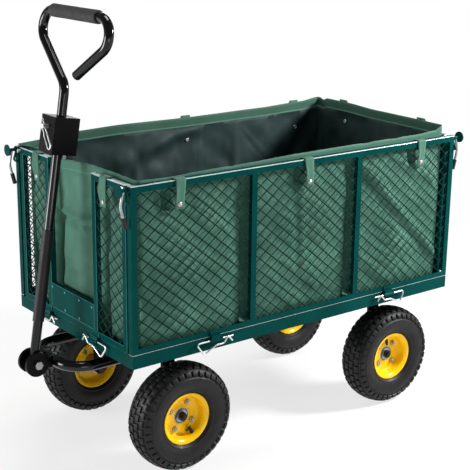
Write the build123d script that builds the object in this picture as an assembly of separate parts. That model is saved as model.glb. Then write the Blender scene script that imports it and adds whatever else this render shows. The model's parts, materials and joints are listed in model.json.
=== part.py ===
from build123d import *
import os
from math import cos, hypot, radians, sin

# Garden cart: steel bed on four air-filled wheels, four folding mesh sides, a cloth liner strapped
# to them, a turntable front axle and a tow handle. Front and handle at -X, left side at -Y, up +Z.
# All sizes in millimetres.

# Wheels
wheel_radius = 130.0
tyre_width = 82.0
tyre_wall = 7.0
tyre_shoulder_drop = 9.0
tyre_shoulder_inset = 10.0
tyre_bead_thickness = 10.5
tyre_lip_rise = 1.0
rim_seat_radius = 51.0
rim_flange_radius = 63.5
rim_width = 58.0
rim_sheet = 2.0
hub_outer_reach = 6.0
hub_inner_reach = 43.0
hub_wall = 3.0
bearing_radius = 17.5
bearing_width = 11.0
rim_bolt_circle_radius = 35.0
rim_bolt_radius = 4.0
rim_bolt_count = 4
rim_bolt_head_height = 5.5
rim_bolt_turn = 60.0
rim_bolt_hex = 7.4
valve_radius = 3.6
valve_length = 22.0
valve_turn = 118.0
rear_wheel_roll = 164.0
valve_slot_width = 11.0
valve_slot_length = 9.0

# Axles
axle_radius = 7.5
axle_thread_radius = 6.0
axle_thread_length = 12.0
axle_nut_height = 9.0
axle_nut_hex = 10.9
axle_collar_wall = 4.0
upright_width = 35.0
upright_thickness = 8.0
upright_half_span = 150.0
axle_head_radius = 12.0
axle_head_height = 6.0

# Layout of the bed over the wheels
wheelbase = 666.0
track = 410.0
bed_length = 992.0
bed_width = 518.0
lip_bottom = 300.5
lip_height = 30.0
lip_sheet = 2.5
bed_flange_width = 42.0
floor_sheet = 1.5
floor_edge_gap = 1.0
cross_rail_width = 70.0
cross_rail_sheet = 3.0
cross_rail_rise = 3.5

# Folding side panels, made of angle steel
panel_height = 381.0
panel_depth = 15.0
rail_width = 15.0
angle_sheet = 2.0
side_bays = 3
corner_gap = 0.6
panel_seat_gap = 0.5
mesh_pitch_along = 36.0
mesh_pitch_up = 29.0
mesh_strand = 3.0
mesh_sheet = 2.0
mesh_lap = 2.5
leg_inset = 3.0
notch_half_width = 98.0
plate_height = 60.0
plate_sheet = 1.5
plate_return = 13.0
rivet_radius = 3.0
rivet_height = 1.6
rivet_margin = 8.0
rivet_narrow = 33.0
rivet_wide = 91.0

# Panel hinges and their wire lock pins
hinge_offset = 7.5
hinge_height = 325.0
knuckle_radius = 4.5
knuckle_length = 26.0
knuckle_leaf_thickness = 3.0
knuckle_leaf_top = 346.0
lug_radius = 5.0
lug_thickness = 3.0
lug_side_gap = 0.5
side_hinge_place = 275.0
end_hinge_place = 108.0
wire_radius = 2.0
wire_leg = 96.0
wire_stand_off = 5.0
wire_loop_reach = 8.0
wire_loop_bend = 5.0
wire_dip_place = 10.5
wire_dip = 28.0
wire_dip_bend = 6.0
wire_rest_start = 45.0
wire_rest_end = 66.0
wire_rest_drop = 11.0
wire_rest_bend = 20.0
wire_rise_bend = 8.0
wire_hump_place = 79.0
wire_hump_rise = 4.0
wire_hump_bend = 4.0
wire_tip_place = 91.0
wire_tip_drop = 10.0

# Corner latches
latch_rod_radius = 4.0
latch_barrel_radius = 5.5
latch_barrel_length = 24.0
latch_hook_sheet = 3.0
latch_hook_gap = 1.0
latch_hub_radius = 8.0
latch_hook_width = 5.0
hook_heel = -30.0
hook_toe = 14.0
hook_arm = 15.0
latch_disc_radius = 14.0
latch_disc_sheet = 3.0
latch_reach = 27.0
latch_rod_end = 2.0
lever_radius = 3.0
lever_stand_off = 13.0
lever_bulge = 8.0
lever_bulge_drop = 35.0
lever_return = 4.0
lever_bend = 42.0
lever_length = 82.0
lever_grip_radius = 5.0
lever_grip_length = 26.0
lever_grip_cap = 2.0
keeper_radius = 3.0
keeper_head_radius = 5.0
keeper_head_height = 4.0
keeper_spacing = 20.0
keeper_clearance = 4.0

# Cloth liner and its straps
liner_sheet = 1.5
liner_top = 728.0
liner_side_gap = 1.0
liner_end_gap = 11.0
liner_floor_gap = 0.3
strap_width = 27.0
strap_sheet = 1.5
strap_drop = 66.0
strap_tuck = 22.0
side_strap_place = 372.0
end_strap_place = 150.0
snap_radius = 6.0
snap_height = 2.6
snap_round = 1.5
snap_rise = 11.0

# Turntable and draw bar
turntable_radius = 65.0
turntable_sheet = 5.0
thrust_ring_sheet = 2.7
thrust_ring_width = 32.0
thrust_ring_radius = 55.0
kingpin_radius = 8.0
kingpin_hex = 13.8
kingpin_head_height = 10.0
kingpin_nut_height = 13.0
kingpin_end = 2.0
beam_width = 35.0
beam_height = 45.0
beam_wall = 3.0
bow_radius = 12.5
bow_wall = 2.5
bow_half_width = 95.0
bow_bend = 62.0
bow_front = 45.0
pivot_ahead = 106.0
pivot_height = 259.0
ear_radius = 29.0
ear_thickness = 8.0
ear_tail_height = 24.0
pivot_bolt_radius = 6.0
pivot_hex = 10.4
pivot_nut_height = 8.0
pivot_bolt_end = 3.0

# Tow handle, measured along the pole from its pivot
pole_lean = 9.2
pole_radius = 11.0
pole_wall = 2.0
foot_radius = 17.0
foot_half_width = 13.0
foot_side_gap = 0.5
sleeve_radius = 13.2
sleeve_start = 99.0
sleeve_end = 314.0
box_start = 489.0
box_height = 84.0
box_depth = 63.0
box_width = 60.0
box_wall = 3.0
pole_split = 520.0
pole_split_gap = 1.0
handle_bend = 642.0
handle_top = 800.0
handle_far_corner = 196.0
handle_near_corner = 247.0
handle_tip_along = 668.0
handle_tip_side = 45.0
handle_neck_bend = 40.0
handle_corner_bend = 38.0
grip_radius = 15.0
grip_length = 198.0
grip_centre = -12.0
hitch_pin_radius = 6.0
hitch_pin_height = 548.0
hitch_pin_front = 14.0
hitch_pin_rear = 6.0
hitch_head_radius = 9.0
clip_radius = 1.4
clip_above = 23.0
clip_below = 55.0
clip_width = 13.0
clip_bend = 6.2
clip_kink_place = 19.0
clip_kink_length = 9.0
clip_kink_in = 2.6
clip_kink_bend = 5.0
clip_tip = 14.0
clip_lean = 42.0

# Clearances
running_gap = 0.05
fit_gap = 0.05
body_gap = 0.3

# Places worked out from the sizes above
lip_top = lip_bottom + lip_height
floor_top = lip_top + floor_sheet
panel_bottom = lip_top + panel_seat_gap
panel_top = panel_bottom + panel_height
half_length = bed_length / 2
half_width = bed_width / 2
latch_y = -half_width + panel_depth / 2
end_half = -latch_y - max(panel_depth / 2, latch_disc_radius) - corner_gap
hub_radius = bearing_radius + hub_wall
front_axle_x = -wheelbase / 2
rear_axle_x = wheelbase / 2
wheel_centre_y = track / 2
upright_outer = upright_half_span + upright_thickness
pivot_x = -half_length - pivot_ahead
latch_height = panel_top - panel_depth / 2
frame_shift = (ear_radius - pivot_x - half_length - latch_reach) / 2

os.makedirs("parts", exist_ok=True)


def save(name, *solids):
    """Write one node, moved so that the origin is under the middle of the whole cart."""
    shape = solids[0] if len(solids) == 1 else Compound(children=list(solids))
    export_step(Pos(frame_shift, 0, 0) * shape, f"parts/{name}.step")


def block(x, y, z):
    """Box between two limits on each axis."""
    sizes = [high - low for low, high in (x, y, z)]
    centre = [(high + low) / 2 for low, high in (x, y, z)]
    return Pos(*centre) * Box(*sizes)


def rod_x(radius, x, y, z):
    """Round bar along X between two limits."""
    return Pos((x[0] + x[1]) / 2, y, z) * Rot(0, 90, 0) * Cylinder(radius, x[1] - x[0])


def rod_y(radius, x, y, z):
    """Round bar along Y between two limits."""
    return Pos(x, (y[0] + y[1]) / 2, z) * Rot(90, 0, 0) * Cylinder(radius, y[1] - y[0])


def rod_z(radius, x, y, z):
    """Round bar along Z between two limits."""
    return Pos(x, y, (z[0] + z[1]) / 2) * Cylinder(radius, z[1] - z[0])


def hexagon(radius, height):
    """Hexagonal bar standing on the ground plane, radius to the corners."""
    return extrude(RegularPolygon(radius, 6), height)


def turned(points):
    """Solid turned about the Y axis from a closed outline of (radius, y) points."""
    return revolve(make_face(Polyline(*points, close=True)), Axis.Y)


def tube(path, start, along, outer, wall):
    """Hollow bar along a path that starts at a point, heading along a direction."""
    section = Plane(origin=start, z_dir=along) * (Circle(outer) - Circle(outer - wall))
    return sweep(section, path=path)


def wire(path, start, along, radius):
    """Round wire along a path."""
    return sweep(Plane(origin=start, z_dir=along) * Circle(radius), path=path)


# Wheel, turned about Y with its outer face towards +Y
def make_tyre():
    seat = rim_seat_radius + fit_gap
    bead = rim_width / 2 - rim_sheet - fit_gap
    lip = rim_flange_radius + tyre_lip_rise
    wide = tyre_width / 2
    shoulder = wheel_radius - tyre_shoulder_drop
    shoulder_y = wide - tyre_shoulder_inset
    belly = (lip + shoulder) / 2
    inner_bead = bead - tyre_bead_thickness
    inner_shoulder = shoulder - tyre_wall
    inner_shoulder_y = shoulder_y - tyre_wall / 2
    outline = [
        Line((seat, bead), (lip, bead)),
        ThreePointArc((lip, bead), (belly, wide), (shoulder, shoulder_y)),
        ThreePointArc((shoulder, shoulder_y), (wheel_radius, 0), (shoulder, -shoulder_y)),
        ThreePointArc((shoulder, -shoulder_y), (belly, -wide), (lip, -bead)),
        Polyline((lip, -bead), (seat, -bead), (seat, -inner_bead), (lip, -inner_bead)),
        ThreePointArc((lip, -inner_bead), (belly, tyre_wall - wide), (inner_shoulder, -inner_shoulder_y)),
        ThreePointArc(
            (inner_shoulder, -inner_shoulder_y),
            (wheel_radius - tyre_wall, 0),
            (inner_shoulder, inner_shoulder_y),
        ),
        ThreePointArc((inner_shoulder, inner_shoulder_y), (belly, wide - tyre_wall), (lip, inner_bead)),
        Polyline((lip, inner_bead), (seat, inner_bead), (seat, bead)),
    ]
    return revolve(make_face(Curve() + outline), Axis.Y)


valve_y = rim_width / 4
valve_place = Rot(0, valve_turn, 0)
valve = valve_place * rod_x(valve_radius, (rim_seat_radius - valve_length, rim_seat_radius + 2), valve_y, 0)


def make_rim():
    bore = hub_radius + fit_gap
    half = turned(
        [
            (bore, 0),
            (rim_seat_radius, 0),
            (rim_seat_radius, rim_width / 2 - rim_sheet),
            (rim_flange_radius, rim_width / 2 - rim_sheet),
            (rim_flange_radius, rim_width / 2),
            (rim_seat_radius - rim_sheet, rim_width / 2),
            (rim_seat_radius - rim_sheet, rim_sheet),
            (bore, rim_sheet),
        ]
    )
    holes = [place * rod_y(rim_bolt_radius + fit_gap, 0, (-1, rim_sheet + 1), 0) for place in bolt_places()]
    half = half - holes
    slot_outer = rim_seat_radius - rim_sheet
    slot = block(
        (slot_outer - valve_slot_length, slot_outer),
        (-1, rim_sheet + 1),
        (-valve_slot_width / 2, valve_slot_width / 2),
    )
    valve_hole = rod_x(valve_radius + fit_gap, (slot_outer - 1, rim_seat_radius + 1), valve_y, 0)
    outer_half = half - [valve_place * slot, valve_place * valve_hole]
    return outer_half, mirror(half, Plane.XZ)


def bolt_places():
    """Places of the rim bolts round the wheel's axis."""
    turns = [rim_bolt_turn + 360 / rim_bolt_count * i for i in range(rim_bolt_count)]
    return [Rot(0, turn, 0) * Pos(rim_bolt_circle_radius, 0, 0) for turn in turns]


def make_bearing(start):
    """Ring with its inner end at one place along the wheel's axis."""
    return turned(
        [
            (axle_radius + running_gap, start),
            (bearing_radius, start),
            (bearing_radius, start + bearing_width),
            (axle_radius + running_gap, start + bearing_width),
        ]
    )


def make_hub():
    sleeve = turned(
        [
            (bearing_radius + fit_gap, -hub_inner_reach),
            (hub_radius, -hub_inner_reach),
            (hub_radius, hub_outer_reach),
            (bearing_radius + fit_gap, hub_outer_reach),
        ]
    )
    bearings = [make_bearing(hub_outer_reach - bearing_width), make_bearing(-hub_inner_reach)]
    head = Pos(0, rim_sheet, 0) * Rot(-90, 0, 0) * hexagon(rim_bolt_hex, rim_bolt_head_height)
    bolt = rod_y(rim_bolt_radius, 0, (-rim_sheet - 1, rim_sheet + 1), 0) + head + mirror(head, Plane.XZ)
    return [sleeve] + bearings + [place * bolt for place in bolt_places()]


wheel_pieces = {"tyre": [make_tyre(), valve], "rim": make_rim(), "hub": make_hub()}
for end, axle_x, roll in (("front", front_axle_x, 0), ("rear", rear_axle_x, rear_wheel_roll)):
    for side, turn, sign in (("left", 180, -1), ("right", 0, 1)):
        place = Pos(axle_x, sign * wheel_centre_y, wheel_radius) * Rot(0, 0, turn) * Rot(0, roll, 0)
        for piece, solids in wheel_pieces.items():
            save(f"{end}_{side}_{piece}", *[place * solid for solid in solids])


# Stub axles with their collars and nuts, and the uprights that hold them
def make_axles(x):
    hub_inner = wheel_centre_y - hub_inner_reach
    hub_outer = wheel_centre_y + hub_outer_reach
    shoulder = hub_outer + body_gap
    thread_end = shoulder + axle_thread_length
    stub = rod_y(axle_radius, x, (upright_half_span, shoulder), wheel_radius)
    stub = stub + rod_y(axle_thread_radius, x, (upright_half_span, thread_end), wheel_radius)
    head = (upright_half_span - axle_head_height, upright_half_span)
    stub = stub + rod_y(axle_head_radius, x, head, wheel_radius)
    collar = rod_y(axle_radius + axle_collar_wall, x, (upright_outer, hub_inner - body_gap), wheel_radius)
    collar = collar - rod_y(axle_radius + fit_gap, x, (0, hub_inner), wheel_radius)
    nut = Pos(x, shoulder, wheel_radius) * Rot(-90, 0, 0) * hexagon(axle_nut_hex, axle_nut_height)
    nut = nut - rod_y(axle_thread_radius + fit_gap, x, (0, thread_end), wheel_radius)
    pieces = [stub, collar, nut]
    return pieces + [mirror(piece, Plane.XZ) for piece in pieces]


def make_upright(x, top):
    plate = block(
        (x - upright_width / 2, x + upright_width / 2),
        (upright_half_span, upright_outer),
        (wheel_radius, top),
    )
    plate = plate + rod_y(upright_width / 2, x, (upright_half_span, upright_outer), wheel_radius)
    return plate - rod_y(axle_radius + fit_gap, x, (0, 2 * upright_outer), wheel_radius)


# Bed: lip and flange of folded steel, cross rails over the axles, lugs for the panel hinges
cross_rail_bottom = lip_bottom + cross_rail_rise
cross_web_top = cross_rail_bottom + cross_rail_sheet
flange_bottom = lip_top - lip_sheet
side_turns = {"left": 0, "right": 180, "front": -90, "rear": 90}
panel_reach = {"left": half_width, "right": half_width, "front": half_length, "rear": half_length}
hinge_places = {
    "left": side_hinge_place,
    "right": side_hinge_place,
    "front": end_hinge_place,
    "rear": end_hinge_place,
}


def make_lug(reach):
    """Pair of round lugs that hold one wire pin, beside the lip of a near side at -Y."""
    axis_y = -reach - hinge_offset
    inner = knuckle_length / 2 + lug_side_gap
    lug = rod_x(lug_radius, (inner, inner + lug_thickness), axis_y, hinge_height)
    lug = lug + block(
        (inner, inner + lug_thickness),
        (axis_y, -reach),
        (hinge_height - lug_radius, hinge_height + lug_radius),
    )
    lug = lug - rod_x(wire_radius + fit_gap, (0, wire_leg), axis_y, hinge_height)
    return lug + mirror(lug, Plane.YZ)


lip = block((-half_length, half_length), (-half_width, half_width), (lip_bottom, lip_top))
inner_length = half_length - lip_sheet
inner_width = half_width - lip_sheet
lip = lip - block((-inner_length, inner_length), (-inner_width, inner_width), (lip_bottom, flange_bottom))
open_length = half_length - bed_flange_width
open_width = half_width - bed_flange_width
lip = lip - block((-open_length, open_length), (-open_width, open_width), (lip_bottom, lip_top))
rail_half = cross_rail_width / 2
for axle_x in (front_axle_x, rear_axle_x):
    span = (-inner_width, inner_width)
    rail = block((axle_x - rail_half, axle_x + rail_half), span, (cross_rail_bottom, flange_bottom))
    hollow = rail_half - cross_rail_sheet
    rail = rail - block((axle_x - hollow, axle_x + hollow), span, (cross_web_top, lip_top))
    if axle_x == front_axle_x:
        rail = rail - rod_z(kingpin_radius + running_gap, axle_x, 0, (cross_rail_bottom, cross_web_top))
    lip = lip + rail
for side, turn in side_turns.items():
    for sign in (-1, 1):
        lip = lip + Rot(0, 0, turn) * Pos(sign * hinge_places[side], 0, 0) * make_lug(panel_reach[side])
save("bed_frame", lip)

floor_length = half_length - panel_depth - floor_edge_gap
floor_width = half_width - panel_depth - floor_edge_gap
save("bed_floor", block((-floor_length, floor_length), (-floor_width, floor_width), (lip_top, floor_top)))


# Wire lock pins: a straight leg through the hinge, a loop that dips below the lip, and a return that
# clips over the leg near its end. Places are measured back along the leg from its loop
def make_wire_pin(reach, outward):
    axis_y = -reach - hinge_offset

    def at(back, down, out):
        return (outward * (wire_leg / 2 - back), axis_y - out, hinge_height - down)

    points = [
        at(wire_leg, 0, 0),
        at(-wire_loop_reach, 0, 0),
        at(wire_dip_place, wire_dip, wire_stand_off),
        at(wire_rest_start, wire_rest_drop, wire_stand_off),
        at(wire_rest_end, wire_rest_drop, wire_stand_off),
        at(wire_hump_place, -wire_hump_rise, wire_stand_off),
        at(wire_tip_place, wire_tip_drop, wire_stand_off),
    ]
    bends = [wire_loop_bend, wire_dip_bend, wire_rest_bend, wire_rise_bend, wire_hump_bend]
    return wire(FilletPolyline(*points, radius=bends), points[0], (outward, 0, 0), wire_radius)


wire_pins = []
for side, turn in side_turns.items():
    for sign in (-1, 1):
        pin = Pos(sign * hinge_places[side], 0, 0) * make_wire_pin(panel_reach[side], sign)
        wire_pins.append(Rot(0, 0, turn) * pin)
save("wire_pins", *wire_pins)


# Panels are drawn on the near side at -Y, then turned round the cart
def make_knuckle(reach):
    """Hinge knuckle with the leaf that is welded to the panel's outer face."""
    axis_y = -reach - hinge_offset
    along = (-knuckle_length / 2, knuckle_length / 2)
    arm_front = axis_y - knuckle_leaf_thickness / 2
    arm_back = axis_y + knuckle_leaf_thickness / 2
    bridge_bottom = panel_bottom + angle_sheet
    bridge_top = bridge_bottom + knuckle_leaf_thickness
    knuckle = rod_x(knuckle_radius, along, axis_y, hinge_height)
    arm = block(along, (arm_front, arm_back), (hinge_height, bridge_top))
    bridge = block(along, (arm_front, -reach), (bridge_bottom, bridge_top))
    leaf = block(along, (-reach - knuckle_leaf_thickness, -reach), (bridge_bottom, knuckle_leaf_top))
    bore = rod_x(wire_radius + running_gap, (-knuckle_length, knuckle_length), axis_y, hinge_height)
    return knuckle + arm + bridge + leaf - bore


def make_frame(half, reach, bays, notch, hinge_place):
    """Picture frame of channel steel with windows between (low, high) limits, and its two knuckles."""
    inner = -reach + panel_depth
    face = -reach + angle_sheet
    body = block((-half, half), (-reach, inner), (panel_bottom, panel_top))
    room = block(
        (angle_sheet - half, half - angle_sheet),
        (face, inner),
        (panel_bottom + angle_sheet, panel_top - angle_sheet),
    )
    window_bottom = panel_bottom + rail_width
    window_top = panel_top - rail_width
    if notch:
        beside = notch + angle_sheet
        room = room - block((-beside, beside), (face, inner), (window_bottom - angle_sheet, panel_top))
        body = body - block((-notch, notch), (-reach, inner), (window_bottom, panel_top))
    frame = body - room
    for low, high in bays:
        frame = frame - block((low, high), (-reach, face), (window_bottom, window_top))
        for leg in (low - leg_inset - angle_sheet, high + leg_inset):
            frame = frame + block((leg, leg + angle_sheet), (face, inner), (window_bottom, window_top))
    for sign in (-1, 1):
        frame = frame + Pos(sign * hinge_place, 0, 0) * make_knuckle(reach)
    return frame


def make_net(width):
    """Diamond mesh for a window of one width, as a single holed sheet with a border behind the frame."""
    height = panel_height - 2 * rail_width
    rise = mesh_pitch_up / 2
    run = mesh_pitch_along / 2
    centre_to_strand = run * rise / hypot(run, rise)
    shrink = (centre_to_strand - mesh_strand / 2) / centre_to_strand
    across = run * shrink
    up = rise * shrink
    gap = make_face(Polyline((-across, 0), (0, -up), (across, 0), (0, up), close=True))
    columns = int(width / 2 / run) + 1
    rows = int(height / 2 / rise) + 1
    gaps = []
    for i in range(-columns, columns + 1):
        for j in range(-rows, rows + 1):
            if (i + j) % 2 == 0:
                gaps.append(Pos(i * run, j * rise) * gap)
    border = Rectangle(width + 2 * mesh_lap, height + 2 * mesh_lap) - Rectangle(width, height)
    return Rot(90, 0, 0) * extrude(Rectangle(width, height) - gaps + border, mesh_sheet)


def place_net(net, window, reach):
    """Net moved behind one window of a panel."""
    middle = (window[0] + window[1]) / 2
    return Pos(middle, -reach + angle_sheet + mesh_sheet, (panel_bottom + panel_top) / 2) * net


def make_strap(x, reach):
    """Cloth strap over the top rail, hanging down outside."""
    inner = -reach + panel_depth
    outer_low = panel_top - strap_drop
    inner_low = panel_top - strap_tuck
    hood = panel_top + strap_sheet
    across = (x - strap_width / 2, x + strap_width / 2)
    strap = block(across, (-reach - strap_sheet, inner + strap_sheet), (outer_low, hood))
    return strap - [
        block(across, (-reach, inner), (outer_low, panel_top)),
        block(across, (-reach, inner + strap_sheet), (outer_low, inner_low)),
    ]


def make_snap(x, reach):
    """Domed press stud near the end of a strap."""
    centre = panel_top - strap_drop + snap_rise
    face = -reach - strap_sheet
    dome = rod_y(snap_radius, x, (face - snap_height, face), centre)
    return fillet(dome.edges().group_by(Axis.Y)[0], snap_round)


# Corner latch at the left panel's front end, and the stud that its hook closes on
hook_back = -half_length - latch_hook_gap
hook_front = hook_back - latch_hook_sheet


def make_barrel():
    """Bearing for the latch rod, welded behind the panel's end plate."""
    end = -half_length + angle_sheet
    return rod_x(latch_barrel_radius, (end, end + latch_barrel_length), latch_y, latch_height)


def make_barrel_bore():
    """Hole for the latch rod through the end plate and the barrel."""
    limits = (-half_length - 1, -half_length + angle_sheet + latch_barrel_length + 1)
    return rod_x(latch_rod_radius + running_gap, limits, latch_y, latch_height)


def sector(first, last, radius):
    """Triangle from the latch axis between two angles, measured from down towards the cart's middle."""
    corners = [(radius * sin(radians(turn)), -radius * cos(radians(turn))) for turn in (first, last)]
    return make_face(Polyline((0, 0), *corners, close=True))


def make_hook():
    """Flat hook on the latch rod, pointing down and open towards the keeper stud."""
    inner = keeper_spacing + keeper_radius + keeper_clearance
    outer = inner + latch_hook_width
    jaw = (Circle(outer) - Circle(inner)) & sector(hook_heel, hook_toe, 2 * outer)
    arm = Circle((inner + outer) / 2) & sector(hook_heel, hook_heel + hook_arm, 2 * outer)
    flat = Circle(latch_hub_radius) + jaw + arm
    return extrude(Plane.YZ.offset(hook_front) * Pos(latch_y, latch_height) * flat, latch_hook_sheet)


def lever_points():
    """Lever in the plane of the latch rod: away from the panel, then back towards it."""
    root = -half_length - lever_stand_off
    return [
        (root, latch_y, latch_height),
        (root - lever_bulge, latch_y, latch_height - lever_bulge_drop),
        (root + lever_return, latch_y, latch_height - lever_length),
    ]


lever_line = FilletPolyline(*lever_points(), radius=lever_bend)


def make_latch():
    front = -half_length - latch_reach
    back = -half_length + angle_sheet + latch_barrel_length + latch_rod_end
    latch = rod_x(latch_rod_radius, (front, back), latch_y, latch_height)
    latch = latch + rod_x(latch_disc_radius, (front, front + latch_disc_sheet), latch_y, latch_height)
    root, bulge = [Vector(*point) for point in lever_points()[:2]]
    return latch + make_hook() + wire(lever_line, root, bulge - root, lever_radius)


def make_latch_grip():
    section = Plane(origin=lever_line @ 1, z_dir=-(lever_line % 1))
    dip = extrude(section.offset(-lever_grip_cap) * Circle(lever_grip_radius), lever_grip_length)
    return dip - extrude(section * Circle(lever_radius + fit_gap), lever_grip_length)


def make_keeper(reach):
    """Headed stud on the outer face of an end panel."""
    side = -latch_y - keeper_spacing
    shank_end = -reach - 2 * latch_hook_gap - latch_hook_sheet
    keeper = rod_y(keeper_radius, side, (shank_end, -reach), latch_height)
    head = Rot(90, 0, 0) * hexagon(keeper_head_radius, keeper_head_height)
    return keeper + Pos(side, shank_end, latch_height) * head


# Side panels
bay_width = (bed_length - rail_width * (side_bays + 1)) / side_bays
bay_starts = [-half_length + rail_width + i * (bay_width + rail_width) for i in range(side_bays)]
side_windows = [(start, start + bay_width) for start in bay_starts]
side_frame = make_frame(half_length, half_width, side_windows, None, side_hinge_place)
side_frame = side_frame + make_barrel() + mirror(make_barrel(), Plane.YZ)
side_frame = side_frame - make_barrel_bore() - mirror(make_barrel_bore(), Plane.YZ)
side_net = make_net(bay_width)
side_nets = [place_net(side_net, window, half_width) for window in side_windows]
side_strap_places = [-side_strap_place, 0, side_strap_place]
latch_pieces = {"latch": make_latch(), "latch_grip": make_latch_grip()}
for side, latch_ends in (("left", ("front", "rear")), ("right", ("rear", "front"))):
    turn = Rot(0, 0, side_turns[side])
    save(f"{side}_frame", turn * side_frame)
    save(f"{side}_mesh", *[turn * net for net in side_nets])
    save(f"{side}_straps", *[turn * make_strap(x, half_width) for x in side_strap_places])
    save(f"{side}_snaps", *[turn * make_snap(x, half_width) for x in side_strap_places])
    for piece, shape in latch_pieces.items():
        save(f"{latch_ends[0]}_{side}_{piece}", turn * shape)
        save(f"{latch_ends[1]}_{side}_{piece}", turn * mirror(shape, Plane.YZ))

# End panels: the front one has an open notch for the handle, closed low down by a plate
window_edge = end_half - rail_width
post_edge = notch_half_width + rail_width
front_windows = [(-window_edge, -post_edge), (post_edge, window_edge)]
rear_windows = [(-window_edge, -rail_width / 2), (rail_width / 2, window_edge)]
end_strap_places = [-end_strap_place, end_strap_place]
for side, windows, notch in (("front", front_windows, notch_half_width), ("rear", rear_windows, None)):
    turn = Rot(0, 0, side_turns[side])
    save(f"{side}_frame", turn * make_frame(end_half, half_length, windows, notch, end_hinge_place))
    net = make_net(windows[0][1] - windows[0][0])
    save(f"{side}_mesh", *[turn * place_net(net, window, half_length) for window in windows])
    save(f"{side}_straps", *[turn * make_strap(x, half_length) for x in end_strap_places])
    save(f"{side}_snaps", *[turn * make_snap(x, half_length) for x in end_strap_places])

plate_bottom = panel_bottom + rail_width
plate_top = plate_bottom + plate_height
plate = block(
    (-notch_half_width, notch_half_width),
    (-half_length, -half_length + plate_sheet),
    (plate_bottom, plate_top),
)
plate = plate + block(
    (-notch_half_width, notch_half_width),
    (-half_length, -half_length + plate_return),
    (plate_top - plate_sheet, plate_top),
)
upper_row = (-rivet_wide, -rivet_narrow, rivet_narrow, rivet_wide)
rivet_places = [(x, plate_top - rivet_margin) for x in upper_row]
rivet_places += [(x, plate_bottom + rivet_margin) for x in (-rivet_narrow, rivet_narrow)]
rivets = [
    rod_y(rivet_radius, x, (-half_length - rivet_height, -half_length), z) for x, z in rivet_places
]
keeper = make_keeper(half_length)
keepers = [keeper, mirror(keeper, Plane.YZ)]
front_turn = Rot(0, 0, side_turns["front"])
save("front_plate", front_turn * plate)
save("front_fasteners", *[front_turn * piece for piece in keepers + rivets])
save("rear_keepers", *[Rot(0, 0, side_turns["rear"]) * piece for piece in keepers])

# Cloth liner: an open-topped bag standing on the bed floor inside the panels
liner_width = half_width - panel_depth - strap_sheet - liner_side_gap
liner_length = half_length - panel_depth - strap_sheet - liner_end_gap
liner_bottom = floor_top + liner_floor_gap
liner = block((-liner_length, liner_length), (-liner_width, liner_width), (liner_bottom, liner_top))
liner = liner - block(
    (liner_sheet - liner_length, liner_length - liner_sheet),
    (liner_sheet - liner_width, liner_width - liner_sheet),
    (liner_bottom + liner_sheet, liner_top),
)
save("liner", liner)

# Rear uprights welded under their cross rail, with their stub axles
rear_upright = make_upright(rear_axle_x, cross_rail_bottom)
save("rear_axle_brackets", rear_upright, mirror(rear_upright, Plane.XZ))
save("rear_axle", *make_axles(rear_axle_x))

# Turntable: two plates with a thrust ring between them, on a kingpin through the front cross rail
upper_plate_bottom = cross_rail_bottom - turntable_sheet
ring_top = upper_plate_bottom - body_gap
lower_plate_top = ring_top - thrust_ring_sheet
beam_top = lower_plate_top - turntable_sheet
beam_bottom = beam_top - beam_height
upper_plate = rod_z(turntable_radius, front_axle_x, 0, (upper_plate_bottom, cross_rail_bottom))
upper_bore = rod_z(kingpin_radius + running_gap, front_axle_x, 0, (beam_bottom - 1, lip_top))
save("turntable_top", upper_plate - upper_bore)
kingpin_bore = rod_z(kingpin_radius + fit_gap, front_axle_x, 0, (beam_bottom - 1, lip_top))
lower_plate = rod_z(turntable_radius, front_axle_x, 0, (beam_top, lower_plate_top))
save("turntable_bottom", lower_plate - kingpin_bore)
thrust_ring = rod_z(thrust_ring_radius, front_axle_x, 0, (lower_plate_top, ring_top))
ring_hole = rod_z(thrust_ring_radius - thrust_ring_width, front_axle_x, 0, (lower_plate_top, ring_top))
save("thrust_ring", thrust_ring - ring_hole)
nut_bottom = cross_web_top + body_gap
nut_top = nut_bottom + kingpin_nut_height
pin = rod_z(kingpin_radius, front_axle_x, 0, (beam_bottom, nut_top + kingpin_end))
pin_head = hexagon(kingpin_hex, kingpin_head_height)
pin = pin + Pos(front_axle_x, 0, beam_bottom - kingpin_head_height) * pin_head
nut = Pos(front_axle_x, 0, nut_bottom) * hexagon(kingpin_hex, kingpin_nut_height)
save("kingpin", pin, nut - kingpin_bore)

# Front axle beam with its uprights
beam_half = beam_width / 2
beam = block(
    (front_axle_x - beam_half, front_axle_x + beam_half),
    (-upright_half_span, upright_half_span),
    (beam_bottom, beam_top),
)
beam = beam - block(
    (front_axle_x - beam_half + beam_wall, front_axle_x + beam_half - beam_wall),
    (-upright_half_span, upright_half_span),
    (beam_bottom + beam_wall, beam_top - beam_wall),
)
front_upright = make_upright(front_axle_x, beam_top)
save("axle_beam", beam + front_upright + mirror(front_upright, Plane.XZ) - kingpin_bore)
save("front_axle", *make_axles(front_axle_x))

# Draw bar: a bowed tube on the axle beam, with a clevis for the handle
bow_x = pivot_x + bow_front
bow_root = front_axle_x - beam_half
bow_points = [
    (bow_root, -bow_half_width, pivot_height),
    (bow_x, -bow_half_width, pivot_height),
    (bow_x, bow_half_width, pivot_height),
    (bow_root, bow_half_width, pivot_height),
]
bow_path = FilletPolyline(*bow_points, radius=bow_bend)
save("drawbar_bow", tube(bow_path, bow_points[0], (-1, 0, 0), bow_radius, bow_wall))
ear_inner = foot_half_width + foot_side_gap
ear_outer = ear_inner + ear_thickness
tail = (pivot_height - ear_tail_height / 2, pivot_height + ear_tail_height / 2)
ear = rod_y(ear_radius, pivot_x, (ear_inner, ear_outer), pivot_height)
ear = ear + block((pivot_x, bow_x), (ear_inner, ear_outer), tail)
web_back = bow_x - bow_radius - fit_gap
web = block((web_back - ear_thickness, web_back), (-ear_inner, ear_inner), tail)
clevis = ear + mirror(ear, Plane.XZ) + web
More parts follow.
